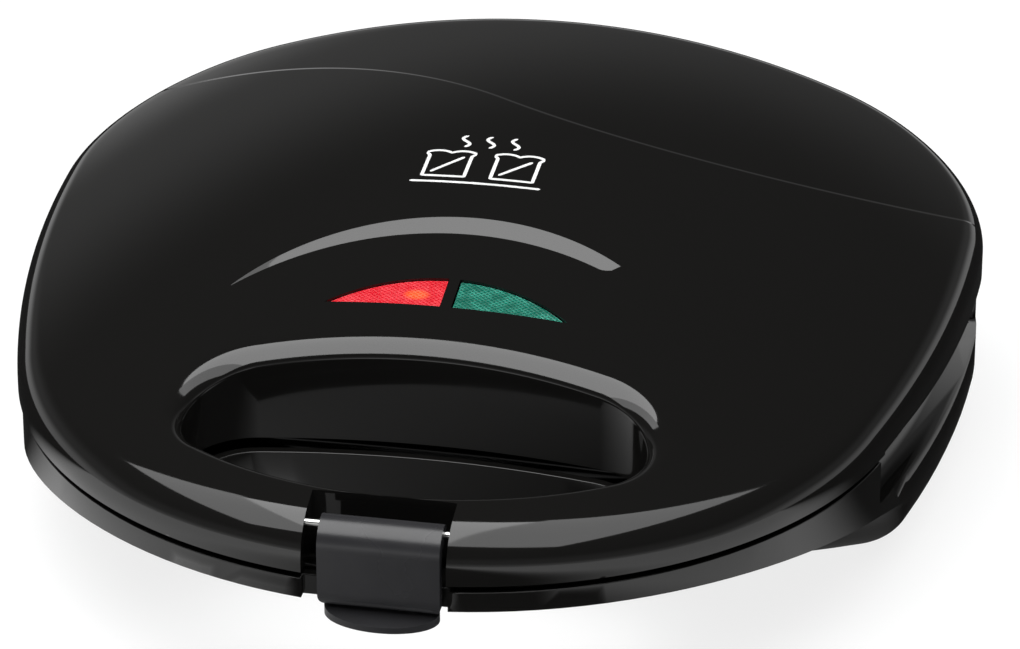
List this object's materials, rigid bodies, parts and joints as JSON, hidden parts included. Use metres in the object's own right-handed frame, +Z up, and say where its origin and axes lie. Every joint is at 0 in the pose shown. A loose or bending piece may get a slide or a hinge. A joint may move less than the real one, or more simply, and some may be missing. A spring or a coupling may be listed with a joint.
{
  "type": "sandwich toaster",
  "caption": "Closed black sandwich toaster with a bowed clam-shell housing, finger opening in its front handle, pivoting latch, lamp windows, hinged lid and heated pocket plates",
  "frame": {"origin": "on the surface the toaster stands on, at the middle of its overall width and length, latch and hinges included", "axes": "+X to the right seen from the latch side, +Y from the latch towards the hinges, +Z up"},
  "size_m": [0.236, 0.254, 0.0766],
  "materials": {
    "housing": "high-gloss black moulded plastic",
    "cover": "plain black moulded sheet",
    "latch": "satin dark grey moulded plastic",
    "cooking_plate": "die-cast, dark non-stick coating",
    "heater": "dull tubular heater sheath",
    "sheet_steel": "pressed zinc-plated sheet",
    "steel_pins": "bright plated steel",
    "rubber": "matt black rubber",
    "red_window": "clear red, diamond-knurled inside",
    "green_window": "clear green, diamond-knurled inside",
    "lamp_glass": "small glow-lamp tube",
    "light_plastic": "off-white heat-resistant moulding",
    "ceramic": "white ceramic block"
  },
  "bodies": {
    "base": {"base_shell": "housing", "base_cover": "cover", "cover_screws": "steel_pins", "foot_front_left": "rubber", "foot_front_right": "rubber", "foot_rear_left": "rubber", "foot_rear_right": "rubber", "lower_plate": "cooking_plate", "lower_element": "heater", "lower_straps": "sheet_steel", "lower_shield": "sheet_steel", "lower_shield_screws": "steel_pins", "lower_plate_screws": "steel_pins", "thermostat": "sheet_steel", "thermal_fuse": "ceramic", "terminal_block": "light_plastic", "cord_gland": "rubber", "hinge_pin_left": "steel_pins", "hinge_pin_right": "steel_pins"},
    "lid": {"lid_shell": "housing", "upper_plate": "cooking_plate", "upper_element": "heater", "upper_straps": "sheet_steel", "upper_shield": "sheet_steel", "upper_shield_screws": "steel_pins", "upper_plate_screws": "steel_pins", "red_lens": "red_window", "green_lens": "green_window", "red_lamp": "lamp_glass", "green_lamp": "lamp_glass", "lamp_holder": "light_plastic", "lamp_screws": "steel_pins", "latch_pin": "steel_pins"},
    "latch": {"latch": "latch"}
  },
  "joints": [
    {"name": "lid_hinge", "type": "hinge", "parent": "base", "child": "lid", "pos_m": [0, 0.1215, 0.039], "axis": [-1, 0, 0], "range_deg": [0, 100]},
    {"name": "latch_pivot", "type": "hinge", "parent": "lid", "child": "latch", "pos_m": [0, -0.1189, 0.0503], "axis": [-1, 0, 0], "range_deg": [0, 40]}
  ]
}
